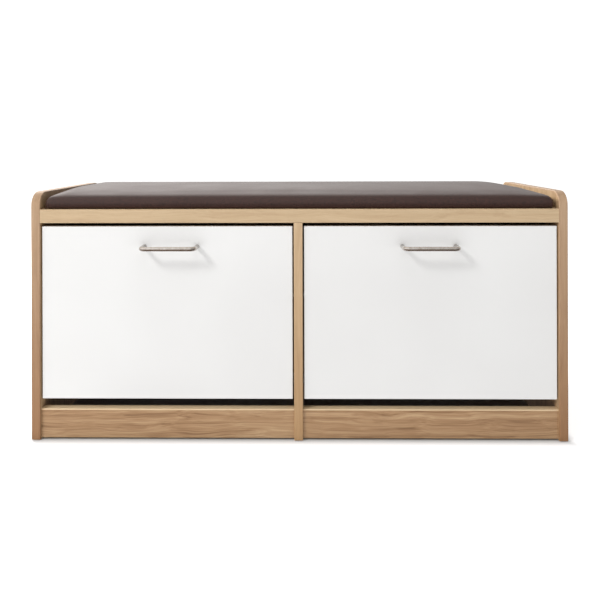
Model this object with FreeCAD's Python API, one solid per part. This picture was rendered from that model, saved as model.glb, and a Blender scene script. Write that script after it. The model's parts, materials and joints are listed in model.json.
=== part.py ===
import FreeCAD, Part
import math
import os

# Entryway bench with two tilt-out shoe flaps and an upholstered seat pad.
# Millimetres. X runs across the width, Y from front to back, Z up.
# The origin is on the floor, under the middle of the overall box.

Vector = FreeCAD.Vector

# ---------------------------------------------------------------- driving dimensions

# Cabinet
BAY_WIDTH = 460.0          # clear width of each of the two bays
BODY_DEPTH = 300.0         # front to rear edge of the side panels
SEAT_HEIGHT = 419.0        # top of the seat board above the floor
SIDE_RISE = 31.0           # how far the side panels stand above the seat board
BOARD = 16.0               # sides, divider, plinths, rails and doors
SEAT_BOARD = 25.0          # thickness of the seat board
BACK_PANEL = 3.0           # thickness of the back panels
CORNER_RADIUS = 25.0       # upper corners of the side panels
EDGING = 2.0               # edging strip on the cabinet's boards
EDGE_ROUND = 1.5           # rounding along the edging's outer edges
PLINTH_HEIGHT = 52.0
PLINTH_SETBACK = 5.0       # behind the front edge of the side panels
RAIL_HEIGHT = 60.0         # rear rails
RAIL_LIFT = 2.0            # plinths and rails above the feet of the side panels
GROOVE_DEPTH = 5.0         # grooves that hold the back panels
GROOVE_INSET = 10.0        # from the rear edge to the groove
GLIDE_RADIUS = 7.0
GLIDE_HEIGHT = 2.0
GLIDE_INSET = 30.0         # from the front and rear edges
NAIL_RADIUS = 1.0
NAIL_LENGTH = 12.0

# Doors and handles
DOOR_SETBACK = 4.0
DOOR_SIDE_GAP = 2.5
DOOR_TOP_GAP = 6.5
DOOR_EDGING = 1.0
DOOR_EDGE_ROUND = 0.8
HANDLE_SPACING = 96.0      # between the two screw holes
HANDLE_ROD = 4.0           # radius of the bar
HANDLE_BEND = 10.0         # bend radius at the bar's centre line
HANDLE_PROJECTION = 32.0   # from the door's face to the front of the bar
HANDLE_DROP = 36.5         # from the door's top edge to the bar
HANDLE_OFFSETS = {"left": 7.0, "right": 2.0}      # from each door's middle towards the divider

# Tilting mechanism
PIVOT_BEHIND_DOOR = 16.0   # from the door's rear face to the pivot axis
PIVOT_RISE = 25.0          # from the door's lower edge to the pivot axis
TILT_LIMIT = 48.0          # opening angle, degrees
SWING_GAP = 3.4            # between the turning door corner and the plinth
PIVOT_PIN = 4.0            # radius
PIN_CLEARANCE = 0.1        # radial, in the bush
BUSH_BARREL = 6.0          # radius
BUSH_FLOOR = 0.9           # material left below the bush's bore
DIVIDER_WEB = 2.0          # left in the divider between holes from both sides
BUSH_FLANGE = 9.0          # radius
BUSH_FLANGE_THICK = 1.5
WING = 4.0                 # thickness of the wing plates
WING_GAP = 3.5             # between a wing plate and the panel beside it
WING_SPARE = 14.0          # between the wing's swing and the cabinet
HUB = 18.0                 # radius of the wing around its pivot
BOSS_RADIUS = 8.0
BOSS_THICK = 1.0
FLANGE_WIDTH = 20.0        # of the wing's flange on the door
FLANGE_THICK = 3.0
STOP_RADIUS = 150.0        # from the pivot axis to the stop pin
STOP_ANGLE = 72.0          # of the stop pin above the horizontal
STOP_PIN = 3.0             # radius
STOP_CLEARANCE = 0.3
STOP_COLLAR = 6.0          # radius
STOP_COLLAR_THICK = 2.0
SHELF = 4.0                # thickness of the shoe shelves
LOWER_SHELF_ANGLE = 15.0
LOWER_SHELF_DROP = 8.0     # of its middle below a line through the pivot axis
MIDDLE_SHELF_ANGLE = 50.0
MIDDLE_SHELF_START = 45.0  # from the pivot axis
SHELF_CLEARANCE = 0.3
RIB = 2.0                  # thickness of the ribs that hold a shelf
RIB_HEIGHT = 6.0

# Seat pad
PAD_END_GAP = 4.0          # between the pad and each side panel
PAD_FRONT_SETBACK = 2.0
PAD_REAR_SETBACK = 4.0
PAD_HEIGHT = 38.0
PAD_CORNER = 12.0          # corners in plan
PAD_ROLL = 10.0            # rounding of the upper edges
PAD_BASE = 9.0             # plywood base
PAD_BASE_INSET = 6.0       # the foam and the covering wrap round the base
COVER = 1.2                # thickness of the covering
COVER_TURN_IN = 28.0       # of the covering under the base

# Fixings
CAM_RADIUS = 7.5
CAM_DEPTH = 12.0
CAM_REACH = 24.0           # from a board's end to the cam's centre
BOLT_SHANK = 3.0           # radius
BOLT_NECK = 2.0
BOLT_THREAD = 2.5
BOLT_THREAD_LENGTH = 11.0
DOWEL_RADIUS = 4.0
DOWEL_LENGTH = 30.0
DOWEL_IN_PANEL = 10.0
SEAT_FIXING_INSET = 50.0   # from the front and rear edges to the seat board's cams
SEAT_DOWEL_STEP = 32.0     # from a cam to its dowel
RAIL_FIXING_SPREAD = 22.0  # between a rail's bolt and its dowel
HOLE_CLEARANCE = 0.1       # radial, around fixings
END_CLEARANCE = 0.5        # past the end of fixings
CONFIRMAT_RADIUS = 3.5
CONFIRMAT_THREAD = 2.5
CONFIRMAT_HEAD = 5.0
CONFIRMAT_BITE = 25.0      # into the divider
CONFIRMAT_INSET = 60.0
PAD_SCREW_RADIUS = 2.0
PAD_SCREW_HEAD = 4.5
PAD_SCREW_BITE = 6.5       # into the pad's base
PAD_SCREW_INSET = 60.0     # from the pad's edges
WING_SCREW_RADIUS = 1.75
WING_SCREW_HEAD = 3.5
WING_SCREW_BITE = 10.0     # into the door
WING_SCREW_INSET = 22.0    # from the ends of the flange
HANDLE_SCREW_RADIUS = 2.0
HANDLE_SCREW_HEAD = 4.5
HANDLE_SCREW_BITE = 8.0    # into the handle's foot
SCREW_HEAD_THICK = 2.4
STAPLE_WIDTH = 11.0
STAPLE_WIRE = 0.6
STAPLE_WIRE_WIDTH = 1.0
STAPLE_LEG = 6.0
STAPLE_INSET = 13.0        # from the pad's edge
STAPLE_PITCH = 76.0

# ---------------------------------------------------------------- places worked out from them

HANDS = {"left": -1, "right": 1}

HANDLE_OVERHANG = HANDLE_PROJECTION - DOOR_SETBACK
FRONT = -(BODY_DEPTH - HANDLE_OVERHANG) / 2
REAR = FRONT + BODY_DEPTH

DIVIDER_FACE = BOARD / 2
HALF_HOLE = (BOARD - DIVIDER_WEB) / 2      # the deepest a hole may go into the divider
PIN_ENGAGEMENT = HALF_HOLE - BUSH_FLOOR - END_CLEARANCE
SIDE_FACE = DIVIDER_FACE + BAY_WIDTH
OUTER_FACE = SIDE_FACE + BOARD
BAY_CENTRE = (DIVIDER_FACE + SIDE_FACE) / 2

SIDE_TOP = SEAT_HEIGHT + SIDE_RISE
UNDER_SEAT = SEAT_HEIGHT - SEAT_BOARD
PLINTH_FOOT = GLIDE_HEIGHT + RAIL_LIFT
PLINTH_TOP = PLINTH_FOOT + PLINTH_HEIGHT
PLINTH_SPAN = (FRONT + PLINTH_SETBACK, FRONT + PLINTH_SETBACK + BOARD)

GROOVE_SPAN = (REAR - GROOVE_INSET - BACK_PANEL - 2 * HOLE_CLEARANCE, REAR - GROOVE_INSET)
RAIL_SPAN = (GROOVE_SPAN[0] - BOARD, GROOVE_SPAN[0])

DOOR_FRONT = FRONT + DOOR_SETBACK
DOOR_BACK = DOOR_FRONT + BOARD
SWING_RADIUS = math.hypot(BOARD + PIVOT_BEHIND_DOOR, PIVOT_RISE)
PIVOT_Y = DOOR_BACK + PIVOT_BEHIND_DOOR
PIVOT_Z = PLINTH_TOP + SWING_GAP + SWING_RADIUS
DOOR_FOOT = PIVOT_Z - PIVOT_RISE
DOOR_TOP = UNDER_SEAT - DOOR_TOP_GAP
HANDLE_Z = DOOR_TOP - HANDLE_DROP

WING_RADIUS = min(GROOVE_SPAN[0] - PIVOT_Y, UNDER_SEAT - PIVOT_Z) - WING_SPARE
WING_TOP = math.sqrt(WING_RADIUS ** 2 - PIVOT_BEHIND_DOOR ** 2)
SHELF_END = WING_RADIUS - 2 * RIB_HEIGHT
SHELF_INSET = WING_GAP + WING + SHELF_CLEARANCE

PAD_RIGHT = SIDE_FACE - PAD_END_GAP
PAD_LEFT = -PAD_RIGHT
PAD_FRONT = FRONT + PAD_FRONT_SETBACK
PAD_REAR = REAR - PAD_REAR_SETBACK

# ---------------------------------------------------------------- solids and holes, by node

solids = {}
drillings = {}


def place(node, solid):
    """Adds one solid to a node."""
    solids.setdefault(node, []).append(solid)


def drill(node, *tools):
    """Keeps holes to cut from a node when it is written."""
    drillings.setdefault(node, []).extend(tools)


def block(x, y, z):
    """A box from its spans, each a pair of ends in either order."""
    low = [min(span) for span in (x, y, z)]
    sizes = [abs(span[1] - span[0]) for span in (x, y, z)]
    return Part.makeBox(*sizes, Vector(*low))


def rod(radius, start, end):
    """A cylinder from start to end."""
    along = Vector(*end) - Vector(*start)
    return Part.makeCylinder(radius, along.Length, Vector(*start), along)


def cone(radius_start, radius_end, start, end):
    along = Vector(*end) - Vector(*start)
    return Part.makeCone(radius_start, radius_end, along.Length, Vector(*start), along)


def extrude(edges, along):
    """The solid that a closed outline sweeps along a vector."""
    return Part.Face(Part.Wire(edges)).extrude(Vector(*along))


def line(start, end):
    return Part.LineSegment(start, end).toShape()


def arc(start, middle, end):
    return Part.Arc(start, middle, end).toShape()


def rounded(solid, radius, chosen):
    """Rounds the edges whose start, end and middle points all satisfy chosen."""
    edges = [e for e in solid.Edges
             if all(chosen(p) for p in (e.firstVertex().Point, e.lastVertex().Point, e.CenterOfMass))]
    return solid.makeFillet(radius, edges)


def near(a, b):
    return abs(a - b) < 1e-4


def around_pivot(x, radius, degrees):
    """A point at a distance and angle from the pivot axis, 0 degrees being straight back."""
    angle = math.radians(degrees)
    return Vector(x, PIVOT_Y + radius * math.cos(angle), PIVOT_Z + radius * math.sin(angle))


def slab(x, along, normal, degrees):
    """A box tilted about the pivot axis: its length runs along the angle, from the axis."""
    box = block(x, along, normal)
    box.rotate(Vector(0, 0, 0), Vector(1, 0, 0), degrees)
    box.translate(Vector(0, PIVOT_Y, PIVOT_Z))
    return box


# ---------------------------------------------------------------- cabinet boards


def side_outline(x, inset):
    """Front, top and rear outline of a side panel, drawn in by inset, and its straight foot."""
    front, rear = FRONT + inset, REAR - inset
    top, foot = SIDE_TOP - inset, GLIDE_HEIGHT
    radius = CORNER_RADIUS - inset
    reach = radius * (1 - math.sqrt(0.5))
    return [
        line(Vector(x, front, foot), Vector(x, front, top - radius)),
        arc(Vector(x, front, top - radius), Vector(x, front + reach, top - reach),
            Vector(x, front + radius, top)),
        line(Vector(x, front + radius, top), Vector(x, rear - radius, top)),
        arc(Vector(x, rear - radius, top), Vector(x, rear - reach, top - reach),
            Vector(x, rear, top - radius)),
        line(Vector(x, rear, top - radius), Vector(x, rear, foot)),
        line(Vector(x, rear, foot), Vector(x, front, foot)),
    ]


def make_side(hand_name):
    """A side panel, its edging strip and its groove for the back panel."""
    hand = HANDS[hand_name]
    panel, edging = hand_name + "_side_panel", hand_name + "_side_edging"
    inner, outer = hand * SIDE_FACE, hand * OUTER_FACE
    whole = extrude(side_outline(inner, 0), (outer - inner, 0, 0))
    core = extrude(side_outline(inner, EDGING), (outer - inner, 0, 0))

    def on_a_face_above_the_foot(point):
        return near(abs(point.x), SIDE_FACE) or near(abs(point.x), OUTER_FACE)

    long_edges = [e for e in whole.Edges
                  if on_a_face_above_the_foot(e.CenterOfMass) and e.CenterOfMass.z > GLIDE_HEIGHT + EDGING]
    place(edging, whole.makeFillet(EDGE_ROUND, long_edges).cut(core))
    place(panel, core)
    drill(panel, block((inner, inner + hand * GROOVE_DEPTH), GROOVE_SPAN,
                       (GLIDE_HEIGHT, UNDER_SEAT + GROOVE_DEPTH)))


def make_divider():
    """The upright between the bays, from the glides to the seat board."""
    spans = (-DIVIDER_FACE, DIVIDER_FACE), (GLIDE_HEIGHT, UNDER_SEAT)
    strip = block(spans[0], (FRONT, FRONT + EDGING), spans[1])
    place("divider_edging", rounded(strip, EDGE_ROUND,
                                    lambda p: near(p.y, FRONT) and near(abs(p.x), DIVIDER_FACE)))
    place("centre_divider", block(spans[0], (FRONT + EDGING, REAR), spans[1]))
    for hand in HANDS.values():
        drill("centre_divider", block((hand * DIVIDER_FACE, hand * (DIVIDER_FACE - GROOVE_DEPTH)),
                                      GROOVE_SPAN, spans[1]))


def make_seat_board():
    """The seat board between the side panels, with a groove below for the back panels."""
    width, height = (-SIDE_FACE, SIDE_FACE), (UNDER_SEAT, SEAT_HEIGHT)
    strip = block(width, (FRONT, FRONT + EDGING), height)
    place("seat_board_edging", rounded(strip, EDGE_ROUND, lambda p: near(p.y, FRONT)
                                       and (near(p.z, UNDER_SEAT) or near(p.z, SEAT_HEIGHT))))
    place("seat_board", block(width, (FRONT + EDGING, REAR), height))
    drill("seat_board", block(width, GROOVE_SPAN, (UNDER_SEAT, UNDER_SEAT + GROOVE_DEPTH)))


def make_rails(hand_name):
    """One bay's plinth, with its edging on top, and the rail at the rear."""
    hand = HANDS[hand_name]
    width = (hand * DIVIDER_FACE, hand * SIDE_FACE)
    board_top = PLINTH_TOP - EDGING
    strip = block(width, PLINTH_SPAN, (board_top, PLINTH_TOP))
    place(hand_name + "_plinth_edging", rounded(
        strip, EDGE_ROUND,
        lambda p: near(p.z, PLINTH_TOP) and (near(p.y, PLINTH_SPAN[0]) or near(p.y, PLINTH_SPAN[1]))))
    place(hand_name + "_plinth", block(width, PLINTH_SPAN, (PLINTH_FOOT, board_top)))
    place(hand_name + "_rear_rail", block(width, RAIL_SPAN, (PLINTH_FOOT, PLINTH_FOOT + RAIL_HEIGHT)))


def make_back_panel(hand_name):
    """A thin panel that slides in grooves on three sides, behind the rear rail."""
    hand = HANDS[hand_name]
    reach = GROOVE_DEPTH - END_CLEARANCE
    place(hand_name + "_back_panel", block(
        (hand * (DIVIDER_FACE - reach), hand * (SIDE_FACE + reach)),
        (GROOVE_SPAN[0] + HOLE_CLEARANCE, GROOVE_SPAN[1] - HOLE_CLEARANCE),
        (PLINTH_FOOT, UNDER_SEAT + reach)))


def make_glides():
    """Nail-on glides under the three uprights."""
    uprights = {"left_side_panel": -(SIDE_FACE + BOARD / 2), "centre_divider": 0.0,
                "right_side_panel": SIDE_FACE + BOARD / 2}
    for node, x in uprights.items():
        for y in (FRONT + GLIDE_INSET, REAR - GLIDE_INSET):
            disc = rod(GLIDE_RADIUS, (x, y, 0), (x, y, GLIDE_HEIGHT))
            disc = rounded(disc, GLIDE_HEIGHT / 4, lambda p: near(p.z, 0))
            nail_top = GLIDE_HEIGHT + NAIL_LENGTH
            place("floor_glides", disc.fuse(rod(NAIL_RADIUS, (x, y, GLIDE_HEIGHT / 2), (x, y, nail_top))))
            drill(node, rod(NAIL_RADIUS + HOLE_CLEARANCE, (x, y, GLIDE_HEIGHT),
                            (x, y, nail_top + END_CLEARANCE)))


# ---------------------------------------------------------------- cabinet fixings


def cam_pocket(x, y, z, mouth, spare=0.0):
    """A cam's cylinder around a bolt end at x, y, z. Its open face looks along mouth."""
    face = Vector(x, y, z) + Vector(*mouth) * (BOARD / 2)
    return Part.makeCylinder(CAM_RADIUS + spare, CAM_DEPTH + spare, face, Vector(*mouth) * -1)


def cam_lock(x, y, z, into, mouth):
    """The cam, hollowed on the side where the bolt's head comes in, with a cross recess."""
    cam = cam_pocket(x, y, z, mouth)
    inlet = rod(BOLT_SHANK + 2 * HOLE_CLEARANCE, (x + into * (BOLT_SHANK + END_CLEARANCE), y, z),
                (x - into * 2 * CAM_RADIUS, y, z))
    face = Vector(x, y, z) + Vector(*mouth) * (BOARD / 2)
    arm, width, depth = CAM_RADIUS * 0.6, 1.4, 1.5
    cross = []
    for long_side, short_side in ((arm, width / 2), (width / 2, arm)):
        across = (long_side, short_side, depth) if mouth[2] else (long_side, depth, short_side)
        cross.append(block(*[(centre - half, centre + half) for centre, half in zip(face, across)]))
    return cam.cut([inlet, *cross])


def bolt_end(x, y, z, into):
    """Shank, neck and head of a cam bolt, from a panel's face at x."""
    neck, head, tip = CAM_REACH - 2 * BOLT_SHANK, CAM_REACH - BOLT_SHANK * 0.7, CAM_REACH + BOLT_SHANK * 0.7
    return [rod(BOLT_SHANK, (x, y, z), (x + into * neck, y, z)),
            rod(BOLT_NECK, (x + into * neck, y, z), (x + into * head, y, z)),
            rod(BOLT_SHANK, (x + into * head, y, z), (x + into * tip, y, z))]


def bore_board_end(board, x, y, z, into, mouth):
    """The bolt bore and cam pocket in a board whose end is at x."""
    drill(board, rod(BOLT_SHANK + 2 * HOLE_CLEARANCE, (x, y, z), (x + into * CAM_REACH, y, z)),
          cam_pocket(x + into * CAM_REACH, y, z, mouth, HOLE_CLEARANCE))
    place("cam_locks", cam_lock(x + into * CAM_REACH, y, z, into, mouth))


def fix_to_side(hand_name, board, y, z, mouth):
    """A cam bolt from a side panel into the end of a board."""
    hand = HANDS[hand_name]
    face = hand * SIDE_FACE
    thread = rod(BOLT_THREAD, (face, y, z), (face + hand * BOLT_THREAD_LENGTH, y, z))
    place("cam_bolts", thread.fuse(bolt_end(face, y, z, -hand)))
    drill(hand_name + "_side_panel", rod(BOLT_THREAD + HOLE_CLEARANCE, (face, y, z),
                                         (face + hand * (BOLT_THREAD_LENGTH + END_CLEARANCE), y, z)))
    bore_board_end(board, face, y, z, -hand, mouth)


def dowel(radius, start, end, *boards):
    """A dowel and its hole in each board. The hole is a little longer than the dowel."""
    along = (Vector(*end) - Vector(*start)).normalize() * END_CLEARANCE
    place("wooden_dowels", rod(radius, start, end))
    for board in boards:
        drill(board, rod(radius + HOLE_CLEARANCE, Vector(*start) - along, Vector(*end) + along))


def dowel_to_side(hand_name, board, y, z):
    hand = HANDS[hand_name]
    start = hand * (SIDE_FACE + DOWEL_IN_PANEL)
    dowel(DOWEL_RADIUS, (start, y, z), (start - hand * DOWEL_LENGTH, y, z),
          hand_name + "_side_panel", board)


def fix_seat_board():
    """Cams and dowels to the side panels, screws and dowels to the divider."""
    z = UNDER_SEAT + BOARD / 2
    for edge, inward in ((FRONT, 1), (REAR, -1)):
        cam_y = edge + inward * SEAT_FIXING_INSET
        for hand_name in HANDS:
            fix_to_side(hand_name, "seat_board", cam_y, z, (0, 0, -1))
            dowel_to_side(hand_name, "seat_board", cam_y + inward * SEAT_DOWEL_STEP, z)
        y = edge + inward * CONFIRMAT_INSET
        head_foot, bite = SEAT_HEIGHT - (CONFIRMAT_HEAD - CONFIRMAT_RADIUS) * 2, UNDER_SEAT - CONFIRMAT_BITE
        screw = [cone(CONFIRMAT_RADIUS, CONFIRMAT_HEAD, (0, y, head_foot), (0, y, SEAT_HEIGHT)),
                 rod(CONFIRMAT_RADIUS, (0, y, UNDER_SEAT), (0, y, head_foot)),
                 rod(CONFIRMAT_THREAD, (0, y, bite), (0, y, UNDER_SEAT))]
        place("divider_screws", screw[0].fuse(screw[1:]))
        drill("seat_board",
              cone(CONFIRMAT_RADIUS + HOLE_CLEARANCE, CONFIRMAT_HEAD + HOLE_CLEARANCE,
                   (0, y, head_foot), (0, y, SEAT_HEIGHT)),
              rod(CONFIRMAT_RADIUS + HOLE_CLEARANCE, (0, y, UNDER_SEAT), (0, y, head_foot)))
        drill("centre_divider", rod(CONFIRMAT_THREAD + HOLE_CLEARANCE, (0, y, bite - END_CLEARANCE),
                                    (0, y, UNDER_SEAT)))
        dowel_y = y + inward * SEAT_DOWEL_STEP
        top = SEAT_HEIGHT - SEAT_BOARD / 3
        dowel(DOWEL_RADIUS, (0, dowel_y, top - DOWEL_LENGTH), (0, dowel_y, top),
              "seat_board", "centre_divider")


def fix_rails():
    """Each plinth and rear rail: a cam bolt and a dowel at both ends."""
    levels = {"_plinth": (sum(PLINTH_SPAN) / 2, PLINTH_FOOT + PLINTH_HEIGHT / 2, (0, 1, 0)),
              "_rear_rail": (sum(RAIL_SPAN) / 2, PLINTH_FOOT + RAIL_HEIGHT / 2, (0, -1, 0))}
    for rail, (y, middle, mouth) in levels.items():
        bolt_z, dowel_z = middle + RAIL_FIXING_SPREAD / 2, middle - RAIL_FIXING_SPREAD / 2
        through = rod(BOLT_SHANK, (-DIVIDER_FACE, y, bolt_z), (DIVIDER_FACE, y, bolt_z))
        ends = []
        for hand_name, hand in HANDS.items():
            board = hand_name + rail
            fix_to_side(hand_name, board, y, bolt_z, mouth)
            dowel_to_side(hand_name, board, y, dowel_z)
            ends += bolt_end(hand * DIVIDER_FACE, y, bolt_z, hand)
            bore_board_end(board, hand * DIVIDER_FACE, y, bolt_z, hand, mouth)
        place("cam_bolts", through.fuse(ends))
        drill("centre_divider", rod(BOLT_SHANK + 2 * HOLE_CLEARANCE, (-DIVIDER_FACE, y, bolt_z),
                                    (DIVIDER_FACE, y, bolt_z)))
        half = DIVIDER_FACE + DOWEL_LENGTH - DOWEL_IN_PANEL
        dowel(DOWEL_RADIUS, (-half, y, dowel_z), (half, y, dowel_z),
              "centre_divider", "left" + rail, "right" + rail)


# ---------------------------------------------------------------- tilting flaps


def flap_panels(hand):
    """The two upright faces beside a flap: x of the face, direction into the bay, its panel."""
    side = "left_side_panel" if hand < 0 else "right_side_panel"
    return {"outer": (hand * SIDE_FACE, -hand, side), "inner": (hand * DIVIDER_FACE, hand, "centre_divider")}


def make_door(hand_name):
    """The door board and the edging strip round its four edges."""
    hand = HANDS[hand_name]
    width = sorted((hand * (DIVIDER_FACE + DOOR_SIDE_GAP), hand * (SIDE_FACE - DOOR_SIDE_GAP)))
    whole = block(width, (DOOR_FRONT, DOOR_BACK), (DOOR_FOOT, DOOR_TOP))
    whole = rounded(whole, DOOR_EDGE_ROUND, lambda p: True)
    inset = [(low + DOOR_EDGING, high - DOOR_EDGING) for low, high in (width, (DOOR_FOOT, DOOR_TOP))]
    core = block(inset[0], (DOOR_FRONT, DOOR_BACK), inset[1])
    place(hand_name + "_door", core)
    place(hand_name + "_door_edging", whole.cut(core))


def make_handle(hand_name):
    """A bent bar handle with a threaded hole in each foot, and its two screws."""
    centre = HANDS[hand_name] * (BAY_CENTRE - HANDLE_OFFSETS[hand_name])
    half, reach = HANDLE_SPACING / 2, HANDLE_PROJECTION - HANDLE_ROD
    bar_y, turn = DOOR_FRONT - reach, HANDLE_BEND * (1 - math.sqrt(0.5))
    left, right = centre - half, centre + half

    def at(x, y):
        return Vector(x, y, HANDLE_Z)

    path = Part.Wire([
        line(at(left, DOOR_FRONT), at(left, bar_y + HANDLE_BEND)),
        arc(at(left, bar_y + HANDLE_BEND), at(left + turn, bar_y + turn), at(left + HANDLE_BEND, bar_y)),
        line(at(left + HANDLE_BEND, bar_y), at(right - HANDLE_BEND, bar_y)),
        arc(at(right - HANDLE_BEND, bar_y), at(right - turn, bar_y + turn), at(right, bar_y + HANDLE_BEND)),
        line(at(right, bar_y + HANDLE_BEND), at(right, DOOR_FRONT))])
    section = Part.Wire([Part.Circle(at(left, DOOR_FRONT), Vector(0, 1, 0), HANDLE_ROD).toShape()])
    place(hand_name + "_handle", path.makePipeShell([section], True, False))
    for x in (left, right):
        tip = DOOR_FRONT - HANDLE_SCREW_BITE
        shank = rod(HANDLE_SCREW_RADIUS, (x, DOOR_BACK, HANDLE_Z), (x, tip, HANDLE_Z))
        head = rod(HANDLE_SCREW_HEAD, (x, DOOR_BACK, HANDLE_Z), (x, DOOR_BACK + SCREW_HEAD_THICK, HANDLE_Z))
        head = rounded(head, SCREW_HEAD_THICK / 2, lambda p: near(p.y, DOOR_BACK + SCREW_HEAD_THICK))
        place(hand_name + "_handle_screws", shank.fuse(head))
        hole = rod(HANDLE_SCREW_RADIUS + HOLE_CLEARANCE, (x, DOOR_BACK, HANDLE_Z),
                   (x, tip - END_CLEARANCE, HANDLE_Z))
        drill(hand_name + "_door", hole)
        drill(hand_name + "_handle", hole)


def stop_slot(x, depth):
    """The curved slot in which the stop pin runs, from open to closed."""
    half = STOP_PIN + STOP_CLEARANCE
    start, end = STOP_ANGLE - TILT_LIMIT, STOP_ANGLE
    middle = (start + end) / 2
    cap = math.degrees(half / STOP_RADIUS)
    return extrude([
        arc(around_pivot(x, STOP_RADIUS - half, start), around_pivot(x, STOP_RADIUS - half, middle),
            around_pivot(x, STOP_RADIUS - half, end)),
        arc(around_pivot(x, STOP_RADIUS - half, end), around_pivot(x, STOP_RADIUS, end + cap),
            around_pivot(x, STOP_RADIUS + half, end)),
        arc(around_pivot(x, STOP_RADIUS + half, end), around_pivot(x, STOP_RADIUS + half, middle),
            around_pivot(x, STOP_RADIUS + half, start)),
        arc(around_pivot(x, STOP_RADIUS + half, start), around_pivot(x, STOP_RADIUS, start - cap),
            around_pivot(x, STOP_RADIUS - half, start)),
    ], (depth, 0, 0))


def wing_plate(x, depth):
    """The fan-shaped plate: hub at the pivot, straight edge on the door, arc behind."""
    hub_edge = LOWER_SHELF_ANGLE - 90
    tail = LOWER_SHELF_ANGLE - math.degrees(math.asin(HUB / WING_RADIUS))
    crown = math.degrees(math.atan2(WING_TOP, -PIVOT_BEHIND_DOOR))
    door_foot = Vector(x, DOOR_BACK, PIVOT_Z - HUB)
    return extrude([
        line(door_foot, around_pivot(x, WING_RADIUS, crown)),
        arc(around_pivot(x, WING_RADIUS, crown), around_pivot(x, WING_RADIUS, (crown + tail) / 2),
            around_pivot(x, WING_RADIUS, tail)),
        line(around_pivot(x, WING_RADIUS, tail), around_pivot(x, HUB, hub_edge)),
        arc(around_pivot(x, HUB, hub_edge), around_pivot(x, HUB, (hub_edge - 90) / 2),
            around_pivot(x, HUB, -90)),
        line(around_pivot(x, HUB, -90), door_foot),
    ], (depth, 0, 0))


def shelf_layout():
    """Each shelf's angle, the span along it and the span across its thickness."""
    lower = -LOWER_SHELF_DROP
    return {
        "lower": (LOWER_SHELF_ANGLE, (FLANGE_THICK - PIVOT_BEHIND_DOOR, SHELF_END),
                  (lower - SHELF / 2, lower + SHELF / 2)),
        "middle": (MIDDLE_SHELF_ANGLE, (MIDDLE_SHELF_START, SHELF_END), (-SHELF / 2, SHELF / 2)),
    }


def make_wing(hand_name, place_name):
    """A side wing of the flap: plate, door flange, pivot pin, stop slot and shelf channels."""
    face, into, _ = flap_panels(HANDS[hand_name])[place_name]
    outside, inside = face + into * WING_GAP, face + into * (WING_GAP + WING)
    flange_span = (PIVOT_Z - HUB, PIVOT_Z + WING_TOP - FLANGE_THICK)
    plate = wing_plate(outside, into * WING).cut(stop_slot(outside, into * WING))
    flange = block((inside, inside + into * FLANGE_WIDTH), (DOOR_BACK, DOOR_BACK + FLANGE_THICK), flange_span)
    pivot = (PIVOT_Y, PIVOT_Z)
    pin = rod(PIVOT_PIN, (outside, *pivot), (face - into * PIN_ENGAGEMENT, *pivot))
    boss = rod(BOSS_RADIUS, (outside, *pivot), (outside - into * BOSS_THICK, *pivot))
    ribs = []
    for degrees, along, normal in shelf_layout().values():
        for low in (normal[0] - SHELF_CLEARANCE / 2 - RIB, normal[1] + SHELF_CLEARANCE / 2):
            ribs.append(slab((inside, inside + into * RIB_HEIGHT), along, (low, low + RIB), degrees))
    node = f"{hand_name}_{place_name}_wing"
    place(node, plate.fuse([flange, pin, boss, *ribs]).removeSplitter())
    fasten_wing(hand_name, node, inside + into * FLANGE_WIDTH / 2, flange_span)


def fasten_wing(hand_name, node, x, flange_span):
    """Three pan-head screws through the flange into the door."""
    low, high = flange_span[0] + WING_SCREW_INSET, flange_span[1] - WING_SCREW_INSET
    seat = DOOR_BACK + FLANGE_THICK
    tip = DOOR_BACK - WING_SCREW_BITE
    for z in (low, (low + high) / 2, high):
        head = rod(WING_SCREW_HEAD, (x, seat, z), (x, seat + SCREW_HEAD_THICK, z))
        head = rounded(head, SCREW_HEAD_THICK / 2, lambda p: near(p.y, seat + SCREW_HEAD_THICK))
        place(hand_name + "_wing_screws", head.fuse(rod(WING_SCREW_RADIUS, (x, seat, z), (x, tip, z))))
        hole = rod(WING_SCREW_RADIUS + HOLE_CLEARANCE, (x, seat, z), (x, tip - END_CLEARANCE, z))
        drill(node, hole)
        drill(hand_name + "_door", hole)


def make_shelves(hand_name):
    """Two shoe shelves held between the wings."""
    hand = HANDS[hand_name]
    width = (hand * (DIVIDER_FACE + SHELF_INSET), hand * (SIDE_FACE - SHELF_INSET))
    for name, (degrees, along, normal) in shelf_layout().items():
        place(f"{hand_name}_{name}_shelf", slab(width, along, normal, degrees))


def make_bush(hand_name, place_name):
    """A blind nylon bush for the pivot pin, let into the panel beside the flap."""
    face, into, panel = flap_panels(HANDS[hand_name])[place_name]
    pivot = (PIVOT_Y, PIVOT_Z)
    lip = face + into * BUSH_FLANGE_THICK
    bottom = face - into * (HALF_HOLE - HOLE_CLEARANCE)
    barrel = rod(BUSH_BARREL, (bottom, *pivot), (face, *pivot))
    flange = rod(BUSH_FLANGE, (face, *pivot), (lip, *pivot))
    bore = rod(PIVOT_PIN + PIN_CLEARANCE, (face - into * (PIN_ENGAGEMENT + END_CLEARANCE), *pivot),
               (lip, *pivot))
    place(hand_name + "_pivot_bushes", barrel.fuse(flange).cut(bore))
    drill(panel, rod(BUSH_BARREL + HOLE_CLEARANCE, (face - into * HALF_HOLE, *pivot), (face, *pivot)))


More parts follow.
